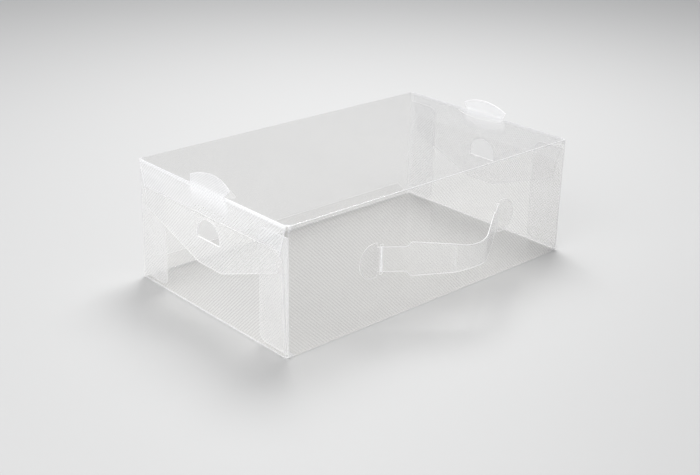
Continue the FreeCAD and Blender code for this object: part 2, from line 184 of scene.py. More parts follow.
def inset(loop, depth):
    """The loop moved inwards by depth, or outwards where depth is negative."""
    points = [Vector(p) for p in loop]
    kept = [p for p, before in zip(points, points[-1:] + points[:-1])
            if (p - before).length > SHORTEST_SIDE]
    turning = sum(a.x * b.y - b.x * a.y for a, b in zip(kept, kept[1:] + kept[:1]))
    sign = 1.0 if turning > 0 else -1.0
    moved = []
    for before, here, after in zip(kept[-1:] + kept[:-1], kept, kept[1:] + kept[:1]):
        ways = [(here - before).normalized(), (after - here).normalized()]
        normals = [Vector((-w.y, w.x)) * sign for w in ways]
        middle = normals[0] + normals[1]
        if middle.length < SPIKE:
            continue
        way = middle.normalized()
        moved.append(here + way * depth / max(way.dot(normals[0]), MITRE))
    return [tuple(p) for p in moved]


def distance_to(loops, is_open):
    """A function that gives the distance from a point to the nearest cut side of any of the loops."""
    sides = [(a, b) for loop in loops for a, b in zip(loop, list(loop[1:]) + [loop[0]])
             if not (is_open and is_open((a[0] + b[0]) / 2, (a[1] + b[1]) / 2))]
    starts = np.array([a for a, b in sides])
    ends = np.array([b for a, b in sides])
    runs = ends - starts
    squares = np.maximum((runs ** 2).sum(1), NOT_ZERO)

    def distance(u, v):
        t = np.clip((((u, v) - starts) * runs).sum(1) / squares, 0, 1)
        return float(np.sqrt((((u, v) - starts - runs * t[:, None]) ** 2).sum(1).min()))

    return distance


def plan(outlines, holes, lines, rims, step):
    """The points and edges that a flat sheet's triangles keep to."""
    points, edges = [], []

    def add_row(row, closed):
        first, count = len(points), len(row)
        points.extend(Vector(p) for p in row)
        edges.extend((first + i, first + (i + 1) % count) for i in range(count if closed else count - 1))

    for loop in outlines:
        add_row(divided(loop, step), closed=True)
    for loop in holes:
        add_row(loop, closed=True)
    for a, b in lines:
        add_row(split(a, b, step) + [b], closed=False)
    for loop, depth in rims:
        for row in RIM_ROWS:
            add_row(inset(loop, depth * row), closed=True)
    every = np.array([p for loop in outlines for p in loop])
    low, high = every.min(0), every.max(0)
    across = np.arange(low[0] + step / 2, high[0], step)
    along = np.arange(low[1] + step / 2, high[1], step)
    grid = np.array([(u, v) for u in across for v in along]).reshape(-1, 2)
    points += [Vector(p) for p in grid[inside_any(grid, outlines)]]
    return points, edges


def triangulate(points, edges, outlines, holes):
    """The flat sheet's points and triangles, without what lies outside it or in its holes."""
    flat, _, triangles, _, _, _ = delaunay_2d_cdt(points, edges, [], 0, MESH_GAP)
    flat = np.array([tuple(p) for p in flat])
    triangles = np.array([tuple(t) for t in triangles])
    centres = flat[triangles].mean(1)
    triangles = triangles[inside_any(centres, outlines) & ~inside_any(centres, holes)]
    used = sorted(set(triangles.ravel().tolist()))
    number = {old: new for new, old in enumerate(used)}
    return flat[used], [[number[i] for i in t] for t in triangles.tolist()]


def borders_of(triangles):
    """The sides that only one triangle has, each in that triangle's own direction."""
    sides = {}
    for t in triangles:
        for a, b in zip(t, t[1:] + t[:1]):
            sides.setdefault(frozenset((a, b)), []).append((a, b))
    return [pairs[0] for pairs in sides.values() if len(pairs) == 1]


def thicken(name, flat, triangles, place, is_open):
    """A mesh with an outer face, an inner face under it, and walls between them where it isn't open."""
    outer, inner = [], []
    for u, v in flat:
        point, normal = place(u, v)
        outer.append(point)
        inner.append(point - normal * THICK)
    count = len(flat)
    a, b, c = triangles[0]
    normal = place(*flat[a])[1]
    if (outer[b] - outer[a]).cross(outer[c] - outer[a]).dot(normal) < 0:
        triangles = [t[::-1] for t in triangles]
    faces = [tuple(t) for t in triangles] + [tuple(i + count for i in t[::-1]) for t in triangles]
    walls = []
    for i, j in borders_of(triangles):
        middle = (flat[i] + flat[j]) / 2
        if not (is_open and is_open(*middle)):
            walls.append((j, i, i + count, j + count))
    mesh = bpy.data.meshes.new(name)
    mesh.from_pydata(outer + inner, [], faces + walls)
    mesh.polygons.foreach_set("use_smooth", [True] * len(faces) + [False] * len(walls))
    mesh.polygons.foreach_set("material_index", [0] * len(faces) + [1] * len(walls))
    sharp = {frozenset(w[:2]) for w in walls} | {frozenset(w[2:]) for w in walls}
    for edge in mesh.edges:
        edge.use_edge_sharp = frozenset(edge.vertices) in sharp
    return mesh


def lay_out(mesh, blank):
    """A UV map that gives each point's place in the flat blank, the same on both faces."""
    corners = np.zeros(len(mesh.loops), np.int32)
    mesh.loops.foreach_get("vertex_index", corners)
    layer = mesh.uv_layers.new(name="blank")
    layer.data.foreach_set("uv", np.array(blank)[corners % len(blank)].astype(np.float32).ravel())


def mark(mesh, name, values):
    """A named value for each point, the same on both faces."""
    attribute = mesh.attributes.new(name, "FLOAT", "POINT")
    attribute.data.foreach_set("value", np.array(values * 2, np.float32))


def make_sheet(name, outlines, place, holes=(), lines=(), unroll=None, is_open=None, white=None,
               stripes=None, rims=(), rim=0.0, step=7 * MM):
    """A thin sheet with real thickness, from flat outlines.

    place(u, v) gives the outer face's point and normal, and unroll(u, v) the place in the flat blank.
    is_open(u, v) is true along edges where the sheet goes on in another piece. white(u, v) is how far
    the plastic has turned white there, and stripes(u, v) how deep its stripes are pressed. holes are
    cut out, lines are kept as rows of points, and points are about step apart. rims holds pairs of an
    outline and a depth, where rows of points follow the cut edge, and rim, a number or a function of
    u and v, is how white that edge has turned."""
    points, edges = plan(outlines, holes, lines, rims, step)
    flat, triangles = triangulate(points, edges, outlines, holes)
    mesh = thicken(name, flat, triangles, place, is_open)
    lay_out(mesh, [unroll(u, v) if unroll else (u, v) for u, v in flat])
    whiteness = [white(u, v) if white else 0.0 for u, v in flat]
    if rims:
        distance = distance_to([loop for loop, depth in rims], is_open)
        gain = rim if callable(rim) else lambda u, v: rim
        whiteness = [max(w, gain(u, v) * falloff(distance(u, v), RIM_WIDTH))
                     for w, (u, v) in zip(whiteness, flat)]
    mark(mesh, "white", whiteness)
    mark(mesh, "stripes", [stripes(u, v) if stripes else 1.0 for u, v in flat])
    piece = bpy.data.objects.new(name, mesh)
    bpy.context.scene.collection.objects.link(piece)
    return piece


def falloff(distance, reach):
    """1 on a line and 0 past reach, easing in between."""
    t = min(max(1 - abs(distance) / reach, 0.0), 1.0)
    return t * t * (3 - 2 * t)


def window(x, half):
    """1 in the middle and 0 at half and beyond."""
    return math.cos(math.pi / 2 * min(max(x / half, -1.0), 1.0))


def ripple(u, v, size, seed):
    """Smooth unevenness between about -1 and 1, with waves of the given size."""
    return noise.noise(Vector((u / size, v / size, seed)))


END_BOW = 0.45 * MM     # how far an end sinks in at its middle, apart from its ripples
END_RIPPLE = 0.35 * MM


def end_bow(y, z):
    """How far the layers of an end sink inwards; the same for every layer, so that they never meet."""
    if not 0 < z < HEIGHT:
        return 0.0
    middle = window(y, HALF_W) * window(z - HEIGHT / 2, HEIGHT / 2)
    return middle * (END_BOW + END_RIPPLE * (0.5 + ripple(y, z, 50 * MM, 3.1)))


# The sleeve's outer line, seen from its left end: seam flap, bottom, front, lid and back.
SEAM_Y = HALF_W - THICK
PATH = [
    ("seam", (SEAM_Y, GLUE[1].z), (SEAM_Y, BEND)),
    ("bend_seam", (SEAM_Y - BEND, BEND), (0, -90)),
    ("bottom", (SEAM_Y - BEND, 0.0), (BEND - HALF_W, 0.0)),
    ("bend_low", (BEND - HALF_W, BEND), (-90, -180)),
    ("front", (-HALF_W, BEND), (-HALF_W, HEIGHT - BEND)),
    ("bend_front", (BEND - HALF_W, HEIGHT - BEND), (180, 90)),
    ("top", (BEND - HALF_W, HEIGHT), (HALF_W - BEND, HEIGHT)),
    ("bend_back", (HALF_W - BEND, HEIGHT - BEND), (90, 0)),
    ("back", (HALF_W, HEIGHT - BEND), (HALF_W, BEND * 0.4)),
]


def path_sections():
    """Each section's name, where it starts and ends along the blank, and its own numbers."""
    at, sections = 0.0, []
    for name, a, b in PATH:
        long = BEND * math.pi / 2 if name.startswith("bend") else (Vector(b) - Vector(a)).length
        sections.append((name, at, at + long, a, b))
        at += long
    return sections


SECTIONS = path_sections()
AT = {name: (start, end) for name, start, end, _, _ in SECTIONS}
BOWS = {  # how far each long panel stands out in its middle, and the size of its ripples
    "bottom": (-0.15 * MM, 0.1 * MM), "front": (0.35 * MM, 0.25 * MM),
    "top": (-0.9 * MM, 0.35 * MM), "back": (-0.35 * MM, 0.3 * MM),
}
CREASE_WHITE = {"bend_seam": 0.2, "bend_low": 0.9, "bend_front": 1.0, "bend_back": 0.3}
STRIPE_DEPTH = {"bottom": 0.1, "top": 0.2, "back": 0.35}  # where the stripes hardly show; 1 elsewhere
SLITS = [loop for loop in flat_loops("front_panel", FRONT)[1:] if area_of(loop, FRONT) > SMALLEST_HOLE]
SLITS_X = [sum(p.x for p in loop) / len(loop) for loop in SLITS]


def section_at(s):
    """The sleeve's section at s along the blank."""
    return next((section for section in SECTIONS if s <= section[2] + PAST_END), SECTIONS[-1])


def panel_bow(section, x, t):
    """How far a long panel stands out at x, t of the way across it."""
    if section not in BOWS:
        return 0.0
    middle, ripples = BOWS[section]
    seed = sorted(BOWS).index(section) * 7.3
    wave = ripple(x, t * 180 * MM, 60 * MM, seed)
    bow = window(x, HALF_L) * math.sin(math.pi * t) * (middle + ripples * wave)
    if section == "front":
        # the front stays where the model has it round the strap's slits
        bow *= min(1 - falloff(x - slit, 30 * MM) for slit in SLITS_X)
    return bow


def sleeve_place(x, s):
    """Point and normal of the folded sleeve's outer face at s along the blank."""
    name, start, end, a, b = section_at(s)
    t = min(max((s - start) / (end - start), 0.0), 1.0)
    if name.startswith("bend"):
        angle = math.radians(b[0] + (b[1] - b[0]) * t)
        out = Vector((0, math.cos(angle), math.sin(angle)))
        return Vector((x, a[0], a[1])) + out * BEND, out
    y, z = a[0] + (b[0] - a[0]) * t, a[1] + (b[1] - a[1]) * t
    along = Vector((0, b[0] - a[0], b[1] - a[1])).normalized()
    out = along.cross(Vector((1, 0, 0)))
    out = -out if out.y * y + out.z * (z - HEIGHT / 2) < 0 else out
    if name == "seam":
        t = (HEIGHT - z) / HEIGHT
        return Vector((x, y, z)) + out * panel_bow("back", x, t), out
    return Vector((x, y, z)) + out * panel_bow(name, x, t), out


def blank_s(section, y, z):
    """Place along the blank of a point on one of the sleeve's flat panels."""
    start = AT[section][0]
    return {"bottom": start + (SEAM_Y - BEND - y), "front": start + (z - BEND),
            "top": start + (y + HALF_W - BEND), "back": start + (HEIGHT - BEND - z)}[section]


def lid_crease_gain(x, y):
    """How white the lid's end creases have turned: most at the left end's front corner."""
    return 0.4 if x > 0 else 0.4 + 0.5 * falloff(max(y + 20 * MM, 0.0), 30 * MM)


def make_sleeve():
    """The box's one folded sheet: seam flap, bottom, front, lid and back."""
    dust_x, lid_x, end_x = DUST_AXIS.x, LID_AXIS.x, END_AXIS.x
    outlines, holes = [], []

    def box(x, s0, s1):
        outlines.append([(-x, s0), (x, s0), (x, s1), (-x, s1)])

    seam = AT["seam"]
    slant = seam[1] - seam[0]
    seam_x = GLUE[1].x
    outlines.append([(-seam_x, seam[1]), (seam_x, seam[1]),
                     (seam_x - slant, seam[0]), (slant - seam_x, seam[0])])
    box(seam_x, *AT["bend_seam"])
    box(end_x, *AT["bottom"])
    for name in ("bend_low", "front", "bend_front", "bend_back", "back"):
        box(dust_x, *AT[name])
    lid = flat_loops("top_panel", (0, 0, 1))[0]
    outlines.append([(min(max(p.x, -lid_x), lid_x), blank_s("top", p.y, 0)) for p in lid])
    for loop in SLITS:
        holes.append([(p.x, blank_s("front", 0, p.z)) for p in loop])
    lines = []
    creases = [(*AT[name], gain) for name, gain in CREASE_WHITE.items()]
    for start, end, _ in creases:
        places = [start + (end - start) * i / BEND_STEPS for i in range(BEND_STEPS + 1)]
        places += [start - 0.35 * MM, start - 0.8 * MM, end + 0.35 * MM, end + 0.8 * MM]
        lines += [((-end_x, s), (end_x, s)) for s in places]
    for side in (-1, 1):
        for gap in (0.25 * MM, 0.6 * MM, 1.2 * MM):
            for name, x in (("bottom", end_x), ("front", dust_x), ("top", lid_x), ("back", dust_x)):
                u = side * (x - gap)
                lines.append(((u, AT[name][0]), (u, AT[name][1])))
    slits = [np.array(loop).mean(0) for loop in holes]
    corners = []
    for side, side_gain in ((-1, 1.0), (1, 0.6)):
        for name, x, end, gain in (("front", dust_x, 0, 1.0), ("front", dust_x, 1, 1.0),
                                   ("top", lid_x, 0, 1.0), ("top", lid_x, 1, 0.4)):
            corners.append((side * x, AT[name][end], side_gain * gain))

    def end_of(s):
        return {"bottom": end_x, "top": lid_x}.get(section_at(s)[0], dust_x)

    def end_gain(x, s):
        if section_at(s)[0] in ("back", "bend_back"):
            return 0.2
        if section_at(s)[0] == "top":
            return lid_crease_gain(x, s - AT["top"][0] - HALF_W + BEND)
        return 0.9 if x < 0 else 0.45

    def white(x, s):
        amount = max(gain * falloff(s - (start + end) / 2, 0.65 * MM) for start, end, gain in creases)
        reach = 1.1 * MM if section_at(s)[0] == "top" else 0.55 * MM
        amount = max(amount, end_gain(x, s) * falloff(end_of(s) - abs(x), reach))
        for cu, cs, gain in corners:
            amount = max(amount, gain * falloff(math.hypot(x - cu, s - cs), 6 * MM))
        for cu, cs in slits:
            # a slit is tall and narrow, and so is the white round it
            amount = max(amount, 0.5 * falloff(math.hypot(x - cu, (s - cs) / 7), 2.5 * MM))
        return amount

    def is_open(x, s):
        on_end = abs(abs(x) - end_of(s)) < ON_LINE
        return on_end and section_at(s)[0] in ("bottom", "front", "top", "back")

    def stripe_depth(x, s):
        return STRIPE_DEPTH.get(section_at(s)[0], 1.0)

    piece = make_sheet("sleeve_sheet", outlines, sleeve_place, holes, lines, is_open=is_open,
                       white=white, stripes=stripe_depth)
    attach(piece, "sleeve")
    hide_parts("bottom_panel", "front_panel", "back_panel", "top_panel", "glue_flap")
    return piece


class Flap:
    """Where a flap lies: a runs along its crease and d away from it, on the flap's outer face."""

    def __init__(self, axis, along, away, out, section):
        self.axis, self.along, self.away, self.out, self.section = axis, along, away, out, section
        self.side = 1 if axis.x > 0 else -1

    def place(self, a, d):
        """Point and normal of the flap's outer face at a and d."""
        point = self.axis + self.along * a + self.away * d + self.out * CREASE
        return point - self.out * end_bow(point.y, point.z), self.out

    def unroll(self, a, d):
        """The place of a and d in the flat blank."""
        point = self.axis + self.along * a
        return self.side * (abs(self.axis.x) + d), blank_s(self.section, point.y, point.z)

    def flatten(self, point):
        """a and d of a point."""
        return (point - self.axis).dot(self.along), (point - self.axis).dot(self.away)


def crease_strip(name, flap, spans, gain):
    """The bend between a panel and its flap.

    spans are the stretches of the crease that are bent, and gain(a, t) is how white it has turned."""
    length = CREASE * math.pi / 2
    reach = FLAP_START
    outlines = [[(a0, 0.0), (a1, 0.0), (a1, length + reach), (a0, length + reach)] for a0, a1 in spans]
    lines = [((a0, length * i / BEND_STEPS), (a1, length * i / BEND_STEPS))
             for a0, a1 in spans for i in range(1, BEND_STEPS + 1)]
    panel_out = -flap.away

    def place(a, t):
        if t > length:
            return flap.place(a, t - length)
        angle = t / CREASE
        out = panel_out * math.cos(angle) + flap.out * math.sin(angle)
        return flap.axis + flap.along * a + out * CREASE, out

    piece = make_sheet(name, outlines, place, lines=lines, is_open=lambda a, t: True,
                       unroll=lambda a, t: flap.unroll(a, t - length), white=gain, step=20 * MM)
    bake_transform(piece)
    return piece


ROOT_BAND = 0.3 * MM    # points of a tongue this near its crease belong to its root
INSIDE_FLAP = 20 * MM   # from a lid flap's crease to a point well inside the flap


def flap_piece(name, node, flap, white, tongue=None, rim=0.6):
    """A flap's own sheet, with the outline and the thumb hole that the model gives it."""
    loops = flat_loops(node, flap.out)
    outline = [flap.flatten(p) for p in loops[0]]
    holes = [[flap.flatten(p) for p in loop] for loop in loops[1:] if area_of(loop, flap.out) > SMALLEST_HOLE]
    outlines = [outline]
    widest = max(abs(a) for a, d in outline)
    rows = [FLAP_START + gap for gap in (0.8 * MM, 1.8 * MM, 3.2 * MM)]
    place = flap.place
    if tongue:
        outlines.append(tongue["outline"])
        place = tongue["place"]
        rows += [-k * 0.6 * MM for k in range(7)]
    lines = [((-widest, row), (widest, row)) for row in rows]

    def is_open(a, d):
        return abs(d - FLAP_START) < ON_LINE

    edges = [outline] if not tongue else [joined(outline, tongue["outline"])]
    rims = [(loop, RIM_WIDTH) for loop in edges] + [(loop, -RIM_WIDTH) for loop in holes]
    piece = make_sheet(name, outlines, place, holes, lines, unroll=flap.unroll, is_open=is_open,
                       white=white, rims=rims, rim=rim, step=5 * MM)
    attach(piece, node)
    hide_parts(node)
    return piece


def neck_of(tongue_outline):
    """Half the width of a tongue where it leaves its flap."""
    return max(abs(a) for a, d in tongue_outline if abs(d) < ROOT_BAND)


def joined(flap_outline, tongue_outline):
    """One outline for a flap and the tongue that goes on from its root."""
    neck = neck_of(tongue_outline)
    tip = sorted((p for p in tongue_outline if p[1] < -ROOT_BAND), key=lambda p: math.atan2(p[0], -p[1]))
    body = [p for p in flap_outline
            if not (abs(p[0]) < neck + 0.1 * MM and p[1] < FLAP_START - 0.1 * MM)]
    # in order round a point inside the flap, then cut open where the tongue goes
    body.sort(key=lambda p: math.atan2(p[1] - INSIDE_FLAP, p[0]))
    pairs = list(zip(body, body[1:] + body[:1]))
    start = next(i for i, (p, after) in enumerate(pairs)
                 if max(p[1], after[1]) < INSIDE_FLAP and p[0] * after[0] < 0)
    body = body[start + 1:] + body[:start + 1]
    tongue = [(-neck, 0.0)] + tip + [(neck, 0.0)]
    if (Vector(body[-1]) - Vector(tongue[0])).length > (Vector(body[-1]) - Vector(tongue[-1])).length:
        tongue = tongue[::-1]
    return body + tongue


def make_tongue(node, flap):
    """The tongue's outline in the flap's own plane, and where it goes once it leans inwards."""
    normal = steepest_face(node, HEIGHT + MM, flap.side)
    lean = math.acos(min(normal.dot(flap.out), 1.0))
    upwards = -flap.away * math.cos(lean) - flap.out * math.sin(lean)
    loop = flat_loops(node, normal)[0]
    root = flap.axis + normal * CREASE
    outline = [((p - root).dot(flap.along), -(p - root).dot(upwards)) for p in loop]
    turn = 3 * MM  # how much of the tongue is bent

    def place(a, d):
        if d >= 0:
            return flap.place(a, d)
        bent = min(-d / turn, 1.0) * lean
        radius = turn / lean
        rise = radius * math.sin(bent)
        back = radius * (1 - math.cos(bent))
        rest = max(-d - turn, 0.0)
        out = flap.out * math.cos(bent) - flap.away * math.sin(bent)
        up = -flap.away * math.cos(bent) - flap.out * math.sin(bent)
        return (flap.axis + flap.along * a + flap.out * CREASE
                - flap.away * rise - flap.out * back + up * rest), out

    return {"outline": outline, "place": place}


def make_end(label, side):
    """An end panel, which turns on the bottom's end, and its crease."""
    end = label + "_end_panel"
    flap = Flap(Vector((side * END_AXIS.x, 0, END_AXIS.z)), ACROSS, UP, Vector((side, 0, 0)), "bottom")
    sheet = flap_piece(label + "_end_sheet", end, flap,
                       lambda a, d: 0.3 * falloff(d - FLAP_START, 1.0 * MM),
                       rim=lambda a, d: 0.5 if d < 66 * MM else 0.08)
    half = HALF_W - 0.6 * MM
    crease = crease_strip(label + "_end_crease", flap, [(-half, half)],
                          lambda a, t: 0.8 * falloff(t - CREASE * math.pi / 4, 0.6 * MM))
    return [sheet, crease]


def make_lid_flap(label, side):
    """A lid flap with its tongue, and its crease on both sides of the tongue."""
    lid = label + "_lid_flap"
    flap = Flap(Vector((side * LID_AXIS.x, 0, LID_AXIS.z)), ACROSS, -UP, Vector((side, 0, 0)), "top")
    tongue = make_tongue(lid, flap)
    neck = neck_of(tongue["outline"])

    def white(a, d):
        # painted highlight: the white on the tongue's bend and on the flat flap round its root stands in for
        # light from above catching the curved root; the crease's white is the plastic's own
        if d < 0:
            return 0.15 + 0.5 * falloff(d, 4 * MM)
        root = falloff(max(abs(a) - neck, 0.0), 6 * MM) * falloff(d, 16 * MM)
        return max(lid_crease_gain(side, a) * falloff(d - FLAP_START, 2.2 * MM), 0.55 * root)

    sheet = flap_piece(label + "_lid_flap_sheet", lid, flap, white, tongue)
    half = HALF_W - 1.6 * MM
    inner = neck + 0.8 * MM
    crease = crease_strip(label + "_lid_crease", flap, [(-half, -inner), (inner, half)],
                          lambda a, t: lid_crease_gain(side, a))
    return [sheet, crease]


def make_dust_flap(label, side, place):
    """A dust flap, which turns on the front's or the back's end, and its crease."""
    front = 1 if place == "front" else -1
    dust = "%s_%s_dust_flap" % (label, place)
    low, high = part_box(dust)
    axis = Vector((side * DUST_AXIS.x, -front * DUST_AXIS.y, 0))
    flap = Flap(axis, UP, Vector((0, front, 0)), Vector((side, 0, 0)), place)
    gain = (0.8 if side < 0 else 0.5) if front > 0 else 0.2
    sheet = flap_piece(dust + "_sheet", dust, flap, None, rim=0.25 if front > 0 else 0.1)
    crease = crease_strip(dust + "_crease", flap, [(low.z, high.z)],
                          lambda a, t: gain * falloff(t, 0.5 * MM))
    return [sheet, crease]


def make_flaps():
    """The eight flaps of the two ends, each with its crease strip."""
    pieces = []
    for label, side in (("left", -1), ("right", 1)):
        pieces += make_end(label, side)
        pieces += make_lid_flap(label, side)
        for place in ("front", "back"):
            pieces += make_dust_flap(label, side, place)
    return pieces


# ---------------------------------------------------------------- strap
STRAP_RIM = 0.35        # how white the strap's cut edges have turned
ARC_PARTS = 24          # straight parts along the grip's waisted sides

# The grip is bent to an arc between the hinges of the two arms.
GRIP_LOW, GRIP_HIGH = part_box("strap_grip")
ARM_HINGES = {label: Vector(JOINTS["strap_%s_arm_hinge" % label]["pos_m"]) for label in ("left", "right")}
HEAD_HINGES = {label: Vector(JOINTS["strap_%s_head_hinge" % label]["pos_m"]) for label in ("left", "right")}
MIDDLE_X = (ARM_HINGES["left"].x + ARM_HINGES["right"].x) / 2
MIDDLE_Z = (GRIP_LOW.z + GRIP_HIGH.z) / 2
SPAN = (ARM_HINGES["right"].x - ARM_HINGES["left"].x) / 2
DEEP = ARM_HINGES["left"].y - GRIP_LOW.y - THICK / 2
RADIUS = (SPAN * SPAN + DEEP * DEEP) / (2 * DEEP)
HALF_ARC = RADIUS * math.asin(SPAN / RADIUS)
TALL = (GRIP_HIGH.z - GRIP_LOW.z) / 2


def waist_of_grip():
    """Half the height of the grip in its middle."""
    return max(v.co.z - MIDDLE_Z for v in frame["nodes"]["strap_grip"].data.vertices
               if abs(v.co.x - MIDDLE_X) < 1.2 * MM)


def make_grip():
    """The strap's middle, bent to an arc and narrower in its middle."""
    centre = Vector((MIDDLE_X, GRIP_LOW.y + THICK / 2 + RADIUS, MIDDLE_Z))

    def place(u, v):
        angle = u / RADIUS
        out = Vector((math.sin(angle), -math.cos(angle), 0))
        return centre + out * (RADIUS + THICK / 2) + UP * v, out

    dip = TALL - waist_of_grip()
    outline = []
    for k in range(ARC_PARTS + 1):
        u = -HALF_ARC + 2 * HALF_ARC * k / ARC_PARTS
        outline.append((u, TALL - dip * (1 - (u / HALF_ARC) ** 2)))
    outline += [(u, -v) for u, v in reversed(outline)]
    grip = make_sheet("strap_grip_sheet", [outline], place, step=2.5 * MM,
                      rims=[(outline, RIM_WIDTH)], rim=STRAP_RIM,
                      is_open=lambda u, v: abs(abs(u) - HALF_ARC) < ON_LINE)
    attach(grip, "strap_grip")
    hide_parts("strap_grip")
    return grip


class StrapSide:
    """One side of the strap: u is 0 at the head's crease, above 0 on the arm and below 0 on the head."""

    def __init__(self, label, side):
        self.side = side
        self.arm = "strap_%s_arm" % label
        self.head = "strap_%s_head" % label
        self.crease, self.end = HEAD_HINGES[label], ARM_HINGES[label]
        self.along = (self.end - self.crease).normalized()
        self.reach = (self.end - self.crease).length
        out = Vector((-self.along.y, self.along.x, 0))
        self.out = -out if out.y > 0 else out
        self.head_along = Vector((side, 0, 0))

    def place(self, u, v):
        """A point of the arm or head: straight behind the front, eased round the crease."""
        line = -self.head_along * u if u < 0 else self.along * u
        ease = 1.1 * MM
        t = min(max((u + ease) / (2 * ease), 0.0), 1.0)
        t = t * t * (3 - 2 * t)
        normal = (FRONT * (1 - t) + self.out * t).normalized()
        return self.crease + line + UP * v + normal * THICK / 2, normal

    def unroll(self, u, v):
        return self.side * (HALF_ARC + self.reach - u), v

    def make_sheet(self, node, outline, rows, white, is_open):
        lines = [((u, -TALL * 1.3), (u, TALL * 1.3)) for u in rows]
        return make_sheet(node + "_sheet", [outline], self.place, lines=lines, step=3 * MM,
                          rims=[(outline, RIM_WIDTH)], rim=STRAP_RIM, unroll=self.unroll,
                          white=white, is_open=is_open)


def make_arm(half):
    """An arm, from the head's crease through its slit to the grip, white where it leaves the slit."""
    arm, crease, end, along, reach = half.arm, half.crease, half.end, half.along, half.reach
    outline = [((p - crease).dot(along), p.z - MIDDLE_Z) for p in flat_loops(arm, half.out)[0]]
    far, near = max(u for u, v in outline), min(u for u, v in outline)
    outline = [(reach if u > far - ON_LINE else 0.0 if u < near + ON_LINE else u, v)
               for u, v in outline]
    rows = (0.4 * MM, 0.8 * MM, 1.3 * MM, 2 * MM, 2.7 * MM, 3.4 * MM)
    arm_sheet = half.make_sheet(arm, outline, rows, white=lambda u, v: falloff(u - 2 * MM, 1.3 * MM),
                                is_open=lambda u, v: u < ON_LINE or u > reach - ON_LINE)
    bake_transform(arm_sheet)
    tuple(end)
    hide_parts(arm)
    return arm_sheet


def make_head(half):
    """The half-moon head behind the front, which keeps the strap from slipping out."""
    arm, head, crease, head_along = half.arm, half.head, half.crease, half.head_along
    outline = [(-(p - crease).dot(head_along), p.z - MIDDLE_Z) for p in flat_loops(head, FRONT)[0]]
    near = max(u for u, v in outline)
    outline = [(0.0 if u > near - ON_LINE else u, v) for u, v in outline]
    rows = (-0.4 * MM, -0.8 * MM, -1.3 * MM)
    head_sheet = half.make_sheet(head, outline, rows, white=lambda u, v: 0.35 * falloff(u, 1.3 * MM),
                                 is_open=lambda u, v: u > -ON_LINE)
    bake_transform(head_sheet)
    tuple(crease)
    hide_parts(head)
    return head_sheet


def make_strap():
    """The strap: a grip, and on each side an arm and a head."""
    pieces = [make_grip()]
    for label, side in (("left", -1), ("right", 1)):
        half = StrapSide(label, side)
        pieces += [make_arm(half), make_head(half)]
    return pieces


# ---------------------------------------------------------------- materials
STRIPE_PITCH = 2.0 * MM
STRIPE_HEIGHT = 0.06 * MM


def add(tree, kind, **values):
    """A new node. Values named in_X go to the input X, by name or number; others are its settings."""
    node = tree.nodes.new(kind)
    for key, value in values.items():
        if key.startswith("in_"):
            wanted = key[3:]
            socket = node.inputs[int(wanted) if wanted.isdigit() else wanted.replace("_", " ")]
            if isinstance(value, bpy.types.NodeSocket):
                tree.links.new(value, socket)
            else:
                socket.default_value = value
        else:
            setattr(node, key, value)
    return node


def maths(tree, operation, a, b=None, clamp=False):
    """The result of a sum on sockets or numbers."""
    node = add(tree, "ShaderNodeMath", operation=operation, use_clamp=clamp, in_0=a)
    if b is not None:
        if isinstance(b, bpy.types.NodeSocket):
            tree.links.new(b, node.inputs[1])
        else:
            node.inputs[1].default_value = b
    return node.outputs[0]


def ramp(tree, value, low, high, to_low=0.0, to_high=1.0, smooth=True):
    """The value taken from low..high to to_low..to_high."""
    kind = "SMOOTHSTEP" if smooth else "LINEAR"
    node = add(tree, "ShaderNodeMapRange", interpolation_type=kind, in_0=value)
    for index, number in enumerate((low, high, to_low, to_high), start=1):
        node.inputs[index].default_value = number
    return node.outputs[0]


